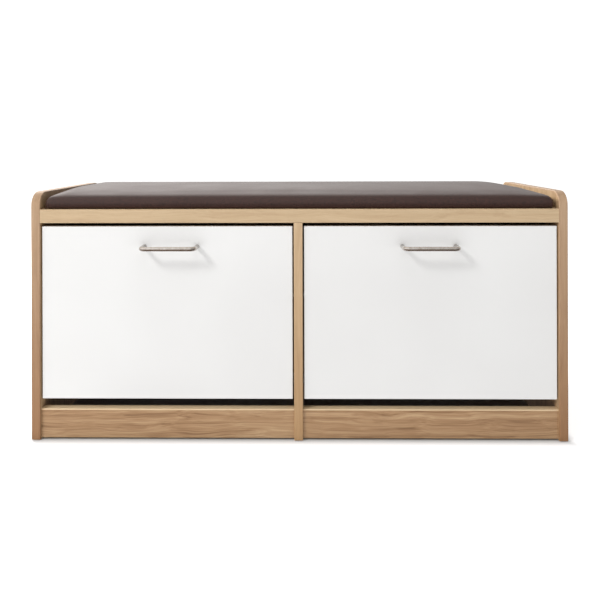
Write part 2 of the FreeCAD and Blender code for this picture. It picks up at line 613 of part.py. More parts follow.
def make_stop_pin(hand_name, place_name):
    """A steel pin in the panel that ends the flap's travel at both ends of the slot."""
    face, into, panel = flap_panels(HANDS[hand_name])[place_name]
    spot = around_pivot(0, STOP_RADIUS, STOP_ANGLE)
    root_radius = STOP_PIN - END_CLEARANCE

    def at(distance):
        return (face + into * distance, spot.y, spot.z)

    root = rod(root_radius, at(END_CLEARANCE - HALF_HOLE), at(0))
    collar = rod(STOP_COLLAR, at(0), at(STOP_COLLAR_THICK))
    nose = rod(STOP_PIN, at(STOP_COLLAR_THICK), at(WING_GAP + WING - STOP_CLEARANCE))
    place(hand_name + "_stop_pins", root.fuse([collar, nose]))
    drill(panel, rod(root_radius + HOLE_CLEARANCE, at(-HALF_HOLE), at(0)))


def make_flap(hand_name):
    """Everything that tilts on one side, and the bushes and pins that carry it."""
    make_door(hand_name)
    make_handle(hand_name)
    make_shelves(hand_name)
    for place_name in ("outer", "inner"):
        make_wing(hand_name, place_name)
        make_bush(hand_name, place_name)
        make_stop_pin(hand_name, place_name)


# ---------------------------------------------------------------- seat pad


def pad_block(inset, bottom, top):
    """A block with the pad's outline in plan, drawn in by inset."""
    form = block((PAD_LEFT + inset, PAD_RIGHT - inset), (PAD_FRONT + inset, PAD_REAR - inset), (bottom, top))
    uprights = [e for e in form.Edges if abs(e.tangentAt(e.FirstParameter).z) > 0.5]
    return form.makeFillet(PAD_CORNER - inset, uprights)


def pad_form(inset):
    """The pad's outer form, drawn in by inset all round, with its upper edges rounded."""
    top = SEAT_HEIGHT + PAD_HEIGHT - inset
    form = pad_block(inset, SEAT_HEIGHT + inset, top)
    return rounded(form, PAD_ROLL - inset, lambda p: near(p.z, top))


def make_pad():
    """Plywood base, foam and covering."""
    whole, filling = pad_form(0), pad_form(COVER)
    base = pad_block(PAD_BASE_INSET, SEAT_HEIGHT + COVER, SEAT_HEIGHT + COVER + PAD_BASE)
    window = block((PAD_LEFT + COVER_TURN_IN, PAD_RIGHT - COVER_TURN_IN),
                   (PAD_FRONT + COVER_TURN_IN, PAD_REAR - COVER_TURN_IN),
                   (SEAT_HEIGHT, SEAT_HEIGHT + COVER))
    place("seat_pad_base", base)
    place("seat_pad_foam", filling.cut(base))
    place("seat_pad_cover", whole.cut([filling, window]))


def fasten_pad():
    """Four screws up through the seat board into the pad's base."""
    for x in (PAD_LEFT + PAD_SCREW_INSET, PAD_RIGHT - PAD_SCREW_INSET):
        for y in (PAD_FRONT + PAD_SCREW_INSET, PAD_REAR - PAD_SCREW_INSET):
            tip = SEAT_HEIGHT + COVER + PAD_SCREW_BITE
            head = rod(PAD_SCREW_HEAD, (x, y, UNDER_SEAT), (x, y, UNDER_SEAT - SCREW_HEAD_THICK))
            head = rounded(head, SCREW_HEAD_THICK / 2, lambda p: near(p.z, UNDER_SEAT - SCREW_HEAD_THICK))
            place("seat_pad_screws", head.fuse(rod(PAD_SCREW_RADIUS, (x, y, UNDER_SEAT), (x, y, tip))))
            hole = rod(PAD_SCREW_RADIUS + HOLE_CLEARANCE, (x, y, UNDER_SEAT), (x, y, tip + END_CLEARANCE))
            drill("seat_board", hole)
            drill("seat_pad_base", hole)


def staple(x, y, along_x, spare):
    """One staple in the covering's turned-in edge, crown down, with spare room all round."""
    half_width, half_wire = STAPLE_WIDTH / 2 + spare, STAPLE_WIRE_WIDTH / 2 + spare
    spans = [(-half_width, half_width), (-half_wire, half_wire)]
    crown_top = SEAT_HEIGHT + STAPLE_WIRE + spare
    leg_top = crown_top + STAPLE_LEG
    legs = [(-half_width, -half_width + STAPLE_WIRE + 2 * spare),
            (half_width - STAPLE_WIRE - 2 * spare, half_width)]
    bars = [block(spans[0], spans[1], (SEAT_HEIGHT, crown_top))]
    bars += [block(leg, spans[1], (SEAT_HEIGHT, leg_top)) for leg in legs]
    whole = bars[0].fuse(bars[1:]).removeSplitter()
    if not along_x:
        whole.rotate(Vector(0, 0, 0), Vector(0, 0, 1), 90)
    whole.translate(Vector(x, y, 0))
    return whole


def evenly(low, high, pitch):
    """Points between low and high, about a pitch apart, half a step in from each end."""
    count = max(2, round((high - low) / pitch))
    step = (high - low) / count
    return [low + step * (i + 0.5) for i in range(count)]


def staple_pad():
    """Staples along the four turned-in edges of the covering."""
    spots = []
    for x in evenly(PAD_LEFT + PAD_CORNER, PAD_RIGHT - PAD_CORNER, STAPLE_PITCH):
        spots += [(x, PAD_FRONT + STAPLE_INSET, True), (x, PAD_REAR - STAPLE_INSET, True)]
    for y in evenly(PAD_FRONT + 2 * PAD_CORNER, PAD_REAR - 2 * PAD_CORNER, STAPLE_PITCH):
        spots += [(PAD_LEFT + STAPLE_INSET, y, False), (PAD_RIGHT - STAPLE_INSET, y, False)]
    for x, y, along_x in spots:
        place("seat_pad_staples", staple(x, y, along_x, 0.0))
        drill("seat_pad_cover", staple(x, y, along_x, HOLE_CLEARANCE))
        drill("seat_pad_base", staple(x, y, along_x, HOLE_CLEARANCE))


# ---------------------------------------------------------------- build and write


def write_parts(folder="parts"):
    """Cuts each node's holes and writes it as one file."""
    os.makedirs(folder, exist_ok=True)
    for node, pieces in solids.items():
        tools = drillings.get(node)
        finished = [piece.cut(tools) if tools else piece for piece in pieces]
        closed = [solid for piece in finished for solid in piece.Solids]
        for solid in closed:
            if not solid.isValid():
                raise ValueError(node + " holds a solid that isn't valid")
        shape = closed[0] if len(closed) == 1 else Part.makeCompound(closed)
        shape.exportStep(os.path.join(folder, node + ".step"))


for name in HANDS:
    make_side(name)
    make_rails(name)
    make_back_panel(name)
    make_flap(name)
make_divider()
make_seat_board()
make_glides()
fix_seat_board()
fix_rails()
make_pad()
fasten_pad()
staple_pad()
write_parts()
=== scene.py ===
# %% [markdown]
# # An entryway bench, lesson by lesson
#
# The bench is a low cabinet with two flaps that tilt out for shoes, and a padded seat on top. Its
# boards, flaps, hinges and screws come from a CAD model, which is loaded here as a fixed frame.
# This script gives every one of them its real surface, and makes in Blender what CAD is poor at:
# the soft seat pad and the bent handles.
#
# Everything is in metres. X runs along the bench, Y from front to back, and Z up from the floor.
#
# ## The frame
#
# Loading the frame brings in every CAD piece at its place. Each has its origin at the frame's own,
# on the floor under the middle of the bench, so a texture that reads Object coordinates reads real
# metres on the bench. Its box is kept, because the finished model has to stay as large.

# %% Load the frame
import json
import math

import bmesh
import bpy
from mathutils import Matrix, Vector, noise


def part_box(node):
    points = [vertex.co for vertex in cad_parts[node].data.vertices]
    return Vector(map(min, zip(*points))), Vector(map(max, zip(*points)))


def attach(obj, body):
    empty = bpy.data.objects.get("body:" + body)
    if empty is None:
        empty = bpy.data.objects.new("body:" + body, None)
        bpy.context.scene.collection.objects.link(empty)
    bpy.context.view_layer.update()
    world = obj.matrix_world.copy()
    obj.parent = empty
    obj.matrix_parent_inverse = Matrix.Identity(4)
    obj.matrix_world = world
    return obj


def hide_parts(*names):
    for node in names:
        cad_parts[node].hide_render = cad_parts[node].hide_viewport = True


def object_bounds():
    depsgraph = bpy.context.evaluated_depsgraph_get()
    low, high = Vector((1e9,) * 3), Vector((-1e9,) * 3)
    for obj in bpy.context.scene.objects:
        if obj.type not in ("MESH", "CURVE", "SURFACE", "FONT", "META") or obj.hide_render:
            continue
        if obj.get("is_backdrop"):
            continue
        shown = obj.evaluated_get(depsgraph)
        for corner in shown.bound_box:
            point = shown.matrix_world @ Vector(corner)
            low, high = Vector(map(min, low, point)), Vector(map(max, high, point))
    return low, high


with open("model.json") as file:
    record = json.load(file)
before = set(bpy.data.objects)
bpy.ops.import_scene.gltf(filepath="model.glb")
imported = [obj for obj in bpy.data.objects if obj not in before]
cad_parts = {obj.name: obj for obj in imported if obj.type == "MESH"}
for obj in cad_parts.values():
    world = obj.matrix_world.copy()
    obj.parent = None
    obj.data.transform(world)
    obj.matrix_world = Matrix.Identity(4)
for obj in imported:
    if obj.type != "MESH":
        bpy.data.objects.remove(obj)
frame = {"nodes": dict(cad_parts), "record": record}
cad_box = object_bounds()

MM = 0.001
nodes = frame["nodes"]

# %% [markdown]
# ## Camera
#
# The view is that of someone who sits on the floor across a hallway: about a metre away, level, and
# half a metre up. A level camera keeps the uprights of a cabinet parallel. Tilting it down to
# centre the bench would make them lean, so the lens is shifted down instead, as with a view camera.
# It stands a little right of the middle and is turned by a fraction of a degree, because a tripod is
# never quite square.

# %% Set up the camera
CAMERA_DISTANCE = 1.027
CAMERA_HEIGHT = 0.531
CAMERA_SIDE = 0.0155
CAMERA_TURN = (90.0, 0.16, 0.65)
LENS = 34.2
LENS_SHIFT = -0.2552

front_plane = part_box("left_side_edging")[0].y
camera_data = bpy.data.cameras.new("camera")
camera_data.lens = LENS
camera_data.sensor_width = 36.0
camera_data.shift_y = LENS_SHIFT
camera = bpy.data.objects.new("camera", camera_data)
camera.location = (CAMERA_SIDE, front_plane - CAMERA_DISTANCE, CAMERA_HEIGHT)
camera.rotation_euler = [math.radians(angle) for angle in CAMERA_TURN]
bpy.context.scene.collection.objects.link(camera)
bpy.context.scene.camera = camera
print("camera at", tuple(round(c, 3) for c in camera.location))

# %% [markdown]
# ## Three small tools for materials
#
# Colours are picked as they look on a screen, in sRGB hex, but Blender works with linear light, so
# one function converts them. A second function adds a node, sets its properties and connects its
# sockets. With it, a material reads from top to bottom like a recipe. A third one starts a material
# with its shader.


# %% Colour and node helpers
def linear(hex_colour):
    """An sRGB hex colour as linear red, green, blue and alpha."""
    parts = [int(hex_colour[i:i + 2], 16) / 255 for i in (1, 3, 5)]
    return [c / 12.92 if c <= 0.04045 else ((c + 0.055) / 1.055) ** 2.4 for c in parts] + [1.0]


def add(tree, kind, sockets=None, stops=(), **settings):
    """Adds a shader node. sockets maps a socket's name or number to a value or to another node's output.
    stops are the positions and hex colours of a colour ramp."""
    new = tree.nodes.new("ShaderNode" + kind)
    for key, value in settings.items():
        setattr(new, key, value)
    for socket, value in (sockets or {}).items():
        if isinstance(value, bpy.types.NodeSocket):
            tree.links.new(value, new.inputs[socket])
        else:
            new.inputs[socket].default_value = value
    while stops and len(new.color_ramp.elements) < len(stops):
        new.color_ramp.elements.new(0.5)
    for number, (position, colour) in enumerate(stops):
        new.color_ramp.elements[number].position = position
        new.color_ramp.elements[number].color = linear(colour)
    return new


def start(name, **constants):
    """A new material: its node tree, its Principled shader and the position on the piece.
    The constants are the shader's sockets, with _ for each space."""
    material = bpy.data.materials.new(name)
    material.use_nodes = True
    tree = material.node_tree
    tree.nodes.clear()
    sockets = {key.replace("_", " "): value for key, value in constants.items()}
    shader = add(tree, "BsdfPrincipled", sockets)
    add(tree, "OutputMaterial", {"Surface": shader.outputs[0]})
    place = add(tree, "TexCoord").outputs["Object"]
    return material, tree, shader, place


print("linear mid grey is", round(linear("#808080")[0], 3))

# %% [markdown]
# ## Floor
#
# Furniture is often shown on a light table: a sheet of white acrylic that is lit from below, so the
# floor turns as white as the background and only a thin contact shadow is left. Here the floor glows
# to give that look. A plain white floor would stay grey around the bench. Light from below would
# also shine up into the cabinet, so the floor is dark under the bench. A node tree measures how far
# a point lies outside the bench's footprint and lets the glow rise over a few centimetres there.
# That ramp paints a shadow: the thin contact shadow is partly real shade and partly painted shadow
# where the glow is held back.

# %% Make the floor
FLOOR_HALF = 8.0
GLOW = 0.80
PAINTED_SHADOW_FADES_FROM = -14 * MM
PAINTED_SHADOW_GONE_AT = 22 * MM

floor_mesh = bpy.data.meshes.new("floor")
bm = bmesh.new()
bmesh.ops.create_grid(bm, x_segments=1, y_segments=1, size=FLOOR_HALF)
bm.to_mesh(floor_mesh)
bm.free()
floor = bpy.data.objects.new("floor", floor_mesh)
bpy.context.scene.collection.objects.link(floor)
light_table, tree, shader, place = start("glowing_floor_painted_shadow", Base_Color=linear("#C8C8C8"),
                                         Roughness=0.8, Emission_Color=linear("#FFFFFF"))
half_depth = (cad_box[1].y - front_plane) / 2
footprint = {"Vector": place, "Location": (0.0, -front_plane - half_depth, 0.0)}
spot = add(tree, "SeparateXYZ", {0: add(tree, "Mapping", footprint).outputs[0]})
past = []
for axis, half in (("X", cad_box[1].x), ("Y", half_depth)):
    reach = add(tree, "Math", {0: spot.outputs[axis]}, operation="ABSOLUTE")
    past.append(add(tree, "Math", {0: reach.outputs[0], 1: half}, operation="SUBTRACT"))
outside = add(tree, "Math", {0: past[0].outputs[0], 1: past[1].outputs[0]}, operation="MAXIMUM")
# The glow fades out over the last centimetres towards the bench, a painted contact shadow.
glow = add(tree, "MapRange", {0: outside.outputs[0], 1: PAINTED_SHADOW_FADES_FROM, 2: PAINTED_SHADOW_GONE_AT, 4: GLOW},
           interpolation_type="SMOOTHSTEP")
tree.links.new(glow.outputs[0], shader.inputs["Emission Strength"])
floor_mesh.materials.append(light_table)
floor.visible_glossy = False
floor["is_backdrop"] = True
print("floor is", round(floor.dimensions.x, 1), "m wide")

# %% [markdown]
# ## The room
#
# One world can show different rays different things. The camera sees plain white. Matt surfaces get
# soft ambient light that is stronger from the left. Shiny surfaces mirror a room that is bright
# above the horizon and dim below it, which gives the metal a dark lower edge, and a backdrop behind
# the bench that grows brighter upwards, which turns the leather grey where one looks along it. A
# picture of a studio would do the same, but three smooth ramps are easier to tune.

# %% Paint the room
AMBIENT = 1.15
BACKDROP_LOW = 0.75
BACKDROP_HIGH = 2.3

world = bpy.data.worlds.new("white_room")
world.use_nodes = True
bpy.context.scene.world = world
tree = world.node_tree
tree.nodes.clear()
ray = add(tree, "LightPath")
direction = add(tree, "SeparateXYZ", {0: add(tree, "TexCoord").outputs["Generated"]})
glossy = ray.outputs["Is Glossy Ray"]
rise = add(tree, "MapRange", {0: direction.outputs["Z"], 1: -0.25, 2: 0.05})
mirrored = add(tree, "ValToRGB", {0: rise.outputs[0]}, stops=((0.0, "#74645B"), (1.0, "#F6F3F0")))
across = add(tree, "MapRange", {0: direction.outputs["X"], 1: -1.0, 2: 1.0})
ambient = add(tree, "ValToRGB", {0: across.outputs[0]}, stops=((0.0, "#D6D6D6"), (1.0, "#444444")))
room = add(tree, "Mix", {0: glossy, 6: ambient.outputs[0], 7: mirrored.outputs[0]}, data_type="RGBA")
seen = add(tree, "Mix", {0: ray.outputs["Is Camera Ray"], 6: room.outputs[2], 7: linear("#FFFFFF")},
           data_type="RGBA")
behind = add(tree, "MapRange", {0: direction.outputs["Y"], 1: 0.2, 2: 0.7})
upper = add(tree, "MapRange", {0: direction.outputs["Z"], 1: 0.05, 2: 0.40, 3: BACKDROP_LOW,
                               4: BACKDROP_HIGH})
backdrop = add(tree, "Mix", {0: behind.outputs[0], 2: AMBIENT, 3: upper.outputs[0]})
darker_right = add(tree, "MapRange", {0: direction.outputs["X"], 1: -0.35, 2: 0.5, 3: 1.0, 4: 0.45})
mirror_light = add(tree, "Math", {0: backdrop.outputs[0], 1: darker_right.outputs[0]},
                   operation="MULTIPLY")
strength = add(tree, "Mix", {0: glossy, 2: AMBIENT, 3: mirror_light.outputs[0]})
background = add(tree, "Background", {"Color": seen.outputs[2], "Strength": strength.outputs[0]})
add(tree, "OutputWorld", {0: background.outputs[0]})
print("a white room with a backdrop")

# %% [markdown]
# ## Softboxes
#
# Three area lights do the work. The key hangs high in front on the left and draws the slanted
# shadows of the handles. A small one above softens them. The third stands behind on the left and
# lights the top edges and the inner face of the right upright, while the inner face of the left one
# stays in shade. None of them shows in mirrors, as with crossed polarising filters, because a
# bright line along the seat's front edge would hide its soft shape.


# %% Hang the softboxes
BENCH_MIDDLE = (0.0, 0.0, 0.25)
BENCH_TOP = (0.0, 0.0, 0.45)


def softbox(name, watts, size, position, target):
    """A square area light that faces a point on the bench."""
    light = bpy.data.lights.new(name, "AREA")
    light.energy = watts
    light.size = size
    lamp = bpy.data.objects.new(name, light)
    lamp.location = position
    lamp.visible_glossy = False
    lamp.rotation_euler = (Vector(target) - Vector(position)).to_track_quat("-Z", "Y").to_euler()
    bpy.context.scene.collection.objects.link(lamp)


softbox("key_softbox", 48.0, 0.7, (-2.1, -1.87, 2.45), BENCH_MIDDLE)
softbox("top_softbox", 4.0, 1.0, (0.1, -0.7, 1.7), BENCH_MIDDLE)
softbox("rear_softbox", 75.0, 0.8, (-1.9, 1.3, 1.6), BENCH_TOP)
bpy.context.scene.view_settings.view_transform = "Standard"
print("three softboxes")

# %% [markdown]
# ## Light oak laminate
#
# The boards are chipboard faced with a printed oak decor under a clear melamine skin. The print has
# three scales: wide bands that wander like growth rings cut along the trunk, fine fibres, and short
# dark pores. Each is a noise that is squeezed across the grain and stretched along it, and a slow
# noise bends them all together. An image would repeat and show its edges; noise runs on across
# every board. The skin adds a satin sheen and almost no relief.
#
# Where a board is cut and has no edging, the chipboard core shows. The piece's own normal tells the
# faces from the cut edges, so one material does both.


# %% Oak laminate
BAND = 9 * MM
FIBRE = 1.6 * MM
PORE = 1.1 * MM
CHIP = 3.5 * MM
CHIP_TONES = ((0.0, "#8F7148"), (0.45, "#B4935F"), (1.0, "#D3B988"))


def oak_figure(tree, place, grain, offset):
    """How light the oak print is, from 0 to 1, and how far a point is from a pore. grain is the axis that
    the fibres run along, and offset moves the print so that boards don't repeat."""
    split = add(tree, "SeparateXYZ", {0: place})
    order = {"X": ("X", "Y", "Z"), "Y": ("Y", "X", "Z"), "Z": ("Z", "X", "Y")}[grain]
    turned = add(tree, "CombineXYZ", {i: split.outputs[axis] for i, axis in enumerate(order)})
    moved = (offset, offset * 0.37, offset * 0.61)
    board = add(tree, "Mapping", {"Vector": turned.outputs[0], "Location": moved})
    slow = add(tree, "Mapping", {"Vector": board.outputs[0], "Scale": (5.0, 14.0, 14.0)})
    wander = add(tree, "TexNoise", {"Vector": slow.outputs[0], "Scale": 1.0, "Detail": 2.0})
    sway = add(tree, "VectorMath", {0: wander.outputs["Color"], 1: (0.0, 0.03, 0.03)},
               operation="MULTIPLY")
    bent = add(tree, "VectorMath", {0: board.outputs[0], 1: sway.outputs[0]}, operation="ADD")
    bands = add(tree, "Mapping", {"Vector": bent.outputs[0], "Scale": (1.6, 1 / BAND, 1 / BAND)})
    band = add(tree, "TexNoise", {"Vector": bands.outputs[0], "Scale": 1.0, "Detail": 5.0,
                                  "Roughness": 0.62})
    fibres = add(tree, "Mapping", {"Vector": bent.outputs[0], "Scale": (9.0, 1 / FIBRE, 1 / FIBRE)})
    fibre = add(tree, "TexNoise", {"Vector": fibres.outputs[0], "Scale": 1.0, "Detail": 2.0})
    pores = add(tree, "Mapping", {"Vector": bent.outputs[0], "Scale": (38.0, 1 / PORE, 1 / PORE)})
    pore = add(tree, "TexNoise", {"Vector": pores.outputs[0], "Scale": 1.0, "Detail": 1.0})
    pit = add(tree, "MapRange", {0: pore.outputs[0], 1: 0.30, 2: 0.42})
    mixed = add(tree, "Mix", {0: 0.34, 2: band.outputs[0], 3: fibre.outputs[0]})
    tone = add(tree, "MapRange", {0: mixed.outputs[0], 1: 0.32, 2: 0.68})
    return tone.outputs[0], pit.outputs[0]


def oak_laminate(name, tones, grain, offset, thickness=None, contrast=1.0, foot=None):
    """Printed oak in a pale, a middle and a dark tone. thickness is the axis across a board, whose other
    faces are cut edges. foot is the tone of a painted shade that darkens the board towards the floor."""
    pale, middle, dark = tones
    material, tree, shader, place = start(name, IOR=1.5)
    tone, pit = oak_figure(tree, place, grain, offset)
    spread = add(tree, "Mix", {0: contrast, 2: 0.5, 3: tone})
    wood = add(tree, "ValToRGB", {0: spread.outputs[0]},
               stops=((0.0, dark), (0.5, middle), (1.0, pale))).outputs[0]
    # With foot, the colour darkens towards the floor: painted shade for light that falls off downwards.
    if foot:
        split = add(tree, "SeparateXYZ", {0: place})
        depth = add(tree, "MapRange", {0: split.outputs["Z"], 1: 0.40, 2: 0.0})
        painted_floor_shade = add(tree, "ValToRGB", {0: depth.outputs[0]}, stops=((0.0, "#FFFFFF"), (1.0, foot)))
        wood = add(tree, "Mix", {0: 1.0, 6: wood, 7: painted_floor_shade.outputs[0]}, data_type="RGBA",
                   blend_type="MULTIPLY").outputs[2]
    inked = add(tree, "Mix", {0: 0.16, 6: wood, 7: linear(dark)}, data_type="RGBA")
    colour = add(tree, "Mix", {0: pit, 6: inked.outputs[2], 7: wood}, data_type="RGBA").outputs[2]
    roughness = add(tree, "MapRange", {0: tone, 3: 0.38, 4: 0.30}).outputs[0]
    bump = add(tree, "Bump", {"Height": pit, "Distance": 0.04 * MM, "Strength": 0.6})
    if thickness:
        normal = add(tree, "SeparateXYZ", {0: add(tree, "TexCoord").outputs["Normal"]})
        face = add(tree, "Math", {0: normal.outputs[thickness]}, operation="ABSOLUTE")
        cut = add(tree, "Math", {0: face.outputs[0], 1: 0.7}, operation="LESS_THAN")
        chips = add(tree, "TexVoronoi", {"Vector": place, "Scale": 1 / CHIP, "Randomness": 1.0})
        chip_tone = add(tree, "SeparateColor", {0: chips.outputs["Color"]})
        core = add(tree, "ValToRGB", {0: chip_tone.outputs[0]}, stops=CHIP_TONES)
        colour = add(tree, "Mix", {0: cut.outputs[0], 6: colour, 7: core.outputs[0]},
                     data_type="RGBA").outputs[2]
        roughness = add(tree, "Mix", {0: cut.outputs[0], 2: roughness, 3: 0.85}).outputs[0]
    tree.links.new(colour, shader.inputs["Base Color"])
    tree.links.new(roughness, shader.inputs["Roughness"])
    tree.links.new(bump.outputs[0], shader.inputs["Normal"])
    return material


LIGHT_OAK = ("#C9AB86", "#B99A76", "#9C7D5D")
STREAKED_OAK = ("#C6A680", "#AC8762", "#7E5C3E")
DEEP_OAK = ("#C0A07A", "#AC8762", "#8A6748")
upright_laminate = oak_laminate("oak_laminate_upright", LIGHT_OAK, "Z", 1.3, "X")
seat_laminate = oak_laminate("oak_laminate_seat_board", LIGHT_OAK, "X", 2.9, "Z")
plinth_laminate = oak_laminate("oak_laminate_plinth", STREAKED_OAK, "X", 4.1, "Y")
rail_laminate = oak_laminate("oak_laminate_rear_rail", DEEP_OAK, "X", 6.7, "Y")
print("oak laminate for uprights, seat board, plinths and rear rails")

# %% [markdown]
# ## Edging strips
#
# The visible edges are closed with a thick plastic strip, printed to match the boards. Its print is
# calmer and paler than the faces, and its long edges are milled round, so they catch a thin line of
# light. The rounding is in the CAD strip, so the material only has to bring the print and a
# slightly glossier skin. On the side and divider strips, painted shade darkens the colour towards
# the floor. The plinth's top strip is given much lighter tones than the others: painted light, as
# little of the lamps' light reaches it under the doors.

# %% Edging strips
# foot paints shade that darkens these strips towards the floor.
side_edging = oak_laminate("oak_edging_side", ("#C6A88A", "#B49577", "#9E7E60"), "Z", 8.3,
                           contrast=0.6, foot="#D8C0A8")
divider_edging = oak_laminate("oak_edging_divider", ("#D9BE9A", "#C9AD89", "#B39270"), "Z", 5.2,
                              contrast=0.55, foot="#E4D2BC")
seat_edging = oak_laminate("oak_edging_seat_board", ("#D3BA98", "#C4AA87", "#B09070"), "X", 9.1,
                           contrast=0.7)
# These lighter tones are painted light on the plinth's top strip.
plinth_edging = oak_laminate("oak_edging_plinth", ("#EFD9B6", "#E3C8A2", "#CDAE84"), "X", 11.7,
                             contrast=0.55)
print("edging for sides, divider, seat board and plinths")

# %% [markdown]
# ## White gloss doors
#
# The flaps are faced with a white high-gloss laminate. It is never perfectly flat: the chips of the
# core telegraph through as a faint ripple, which makes reflections swim. Two soft noises at
# different scales give that ripple as bump, and the gloss itself comes from a low roughness. A
# perfect mirror-flat board would look like glass.


# %% White gloss laminate
RIPPLE = 24 * MM
ORANGE_PEEL = 4 * MM


def white_gloss(name, colour, roughness):
    """White laminate with a faint ripple. It shows as clean white with slow changes in its reflections."""
    material, tree, shader, place = start(name, Roughness=roughness, IOR=1.5)
    slow = add(tree, "TexNoise", {"Vector": place, "Scale": 1 / RIPPLE, "Detail": 2.0})
    fine = add(tree, "TexNoise", {"Vector": place, "Scale": 1 / ORANGE_PEEL, "Detail": 1.0})
    relief = add(tree, "Mix", {0: 0.12, 2: slow.outputs[0], 3: fine.outputs[0]})
    bump = add(tree, "Bump", {"Height": relief.outputs[0], "Distance": 0.12 * MM, "Strength": 0.5})
    drift = add(tree, "TexNoise", {"Vector": place, "Scale": 5.0, "Detail": 1.0})
    tint = add(tree, "Mix", {0: drift.outputs[0], 6: linear(colour), 7: linear("#ECECEB")},
               data_type="RGBA")
    tree.links.new(tint.outputs[2], shader.inputs["Base Color"])
    tree.links.new(bump.outputs[0], shader.inputs["Normal"])
    return material


door_laminate = white_gloss("white_gloss_laminate", "#E1E0DF", 0.10)
door_edging = white_gloss("white_gloss_edging", "#EAE9E8", 0.22)
print("white gloss for doors and their edging")

# %% [markdown]
# ## Metals
#
# Polished nickel is a warm mirror. Zinc plating on screws and pins is bluish and a little cloudy,
# and die-cast zinc is duller and greyer. All three are full metals, and differ in colour and in how
# much the surface scatters, so one function makes them from a tint and a range of roughness. A fine
# noise breaks up the highlight as handling does.


# %% Nickel, zinc plate and die-cast zinc
def plated_metal(name, colour, smooth, rough, grit):
    """A plated or cast metal. grit is the size of the cloudy spots that its highlight breaks up in."""
    material, tree, shader, place = start(name, Metallic=1.0)
    wear = add(tree, "TexNoise", {"Vector": place, "Scale": 1 / grit, "Detail": 3.0})
    haze = add(tree, "MapRange", {0: wear.outputs[0], 1: 0.35, 2: 0.65, 3: smooth, 4: rough})
    tint = add(tree, "Mix", {0: wear.outputs[0], 6: linear(colour), 7: linear("#EDEAE6")},
               data_type="RGBA")
    bump = add(tree, "Bump", {"Height": wear.outputs[0], "Distance": 0.005 * MM, "Strength": 0.1})
    tree.links.new(tint.outputs[2], shader.inputs["Base Color"])
    tree.links.new(haze.outputs[0], shader.inputs["Roughness"])
    tree.links.new(bump.outputs[0], shader.inputs["Normal"])
    return material


nickel = plated_metal("polished_nickel", "#B9AEA4", 0.22, 0.27, 6 * MM)
zinc_plate = plated_metal("zinc_plated_steel", "#B9BEC4", 0.22, 0.38, 1.5 * MM)
zinc_cast = plated_metal("die_cast_zinc", "#9A9B9D", 0.42, 0.58, 1.0 * MM)
print("three metals")

# %% [markdown]
# ## Moulded plastics
#
# The wings are moulded in black plastic with a spark-eroded texture, a fine random relief that
# kills the gloss. The glides and bushes are milky nylon, whose relief is shallower. Both are the
# same recipe with other numbers: a tint that wavers a little, and a noise as bump.


# %% Moulded plastics
def moulded_plastic(name, colour, roughness, texture, depth):
    """Plastic with the texture of its mould: the size of its grain and how deep it is."""
    material, tree, shader, place = start(name, Roughness=roughness, IOR=1.53)
    grain = add(tree, "TexNoise", {"Vector": place, "Scale": 1 / texture, "Detail": 2.0})
    tint = add(tree, "Mix", {0: 0.06, 6: linear(colour), 7: grain.outputs["Color"]},
               data_type="RGBA")
    bump = add(tree, "Bump", {"Height": grain.outputs[0], "Distance": depth, "Strength": 0.8})
    tree.links.new(tint.outputs[2], shader.inputs["Base Color"])
    tree.links.new(bump.outputs[0], shader.inputs["Normal"])
    return material


wing_plastic = moulded_plastic("black_moulded_plastic", "#1B1B1C", 0.48, 1.0 * MM, 0.06 * MM)
nylon = moulded_plastic("milky_nylon", "#DEDCD5", 0.35, 3.0 * MM, 0.02 * MM)
print("two plastics")

# %% [markdown]
# ## Hardboard, plywood and beech
#
# The shelves and backs are hardboard: pressed wood fibre, brown, smooth on one face and marked by
# the wire screen of the press on the other. Two crossed sine waves give that mesh, and the piece's
# own normal keeps it to the rear face. The pad's base is plywood and the dowels are beech. Both are
# bare wood, a noise stretched along the grain, and the plywood also changes tone from layer to
# layer.


# %% Hardboard, plywood and beech
HARDBOARD_FIBRE = 1.4 * MM
SCREEN_WIRE = 3.0 * MM
VENEER = 1.5 * MM
THICKER_THAN_A_DOWEL = 40 * MM


def hardboard(name, colour, speck):
    """Pressed fibre: dark specks and short pale hairs. The rear face also has the press screen's mesh."""
    material, tree, shader, place = start(name, Roughness=0.62)
    fibres = add(tree, "TexNoise", {"Vector": place, "Scale": 1 / HARDBOARD_FIBRE, "Detail": 4.0,
                                    "Roughness": 0.7})
    tone = add(tree, "ValToRGB", {0: fibres.outputs[0]},
               stops=((0.30, speck), (0.55, colour), (0.80, "#6E5744")))
    split = add(tree, "SeparateXYZ", {0: place})
    wires = []
    for axis in ("X", "Z"):
        wave = add(tree, "Math", {0: split.outputs[axis], 1: 2 * math.pi / SCREEN_WIRE},
                   operation="MULTIPLY")
        wires.append(add(tree, "Math", {0: wave.outputs[0]}, operation="SINE").outputs[0])
    mesh = add(tree, "Math", {0: wires[0], 1: wires[1]}, operation="MULTIPLY")
    facing = add(tree, "SeparateXYZ", {0: add(tree, "TexCoord").outputs["Normal"]})
    rear = add(tree, "Math", {0: facing.outputs["Y"], 1: 0.5}, operation="GREATER_THAN")
    screen = add(tree, "Math", {0: mesh.outputs[0], 1: rear.outputs[0]}, operation="MULTIPLY")
    bump = add(tree, "Bump", {"Height": screen.outputs[0], "Distance": 0.15 * MM, "Strength": 0.7})
    tree.links.new(tone.outputs[0], shader.inputs["Base Color"])
    tree.links.new(bump.outputs[0], shader.inputs["Normal"])
    return material


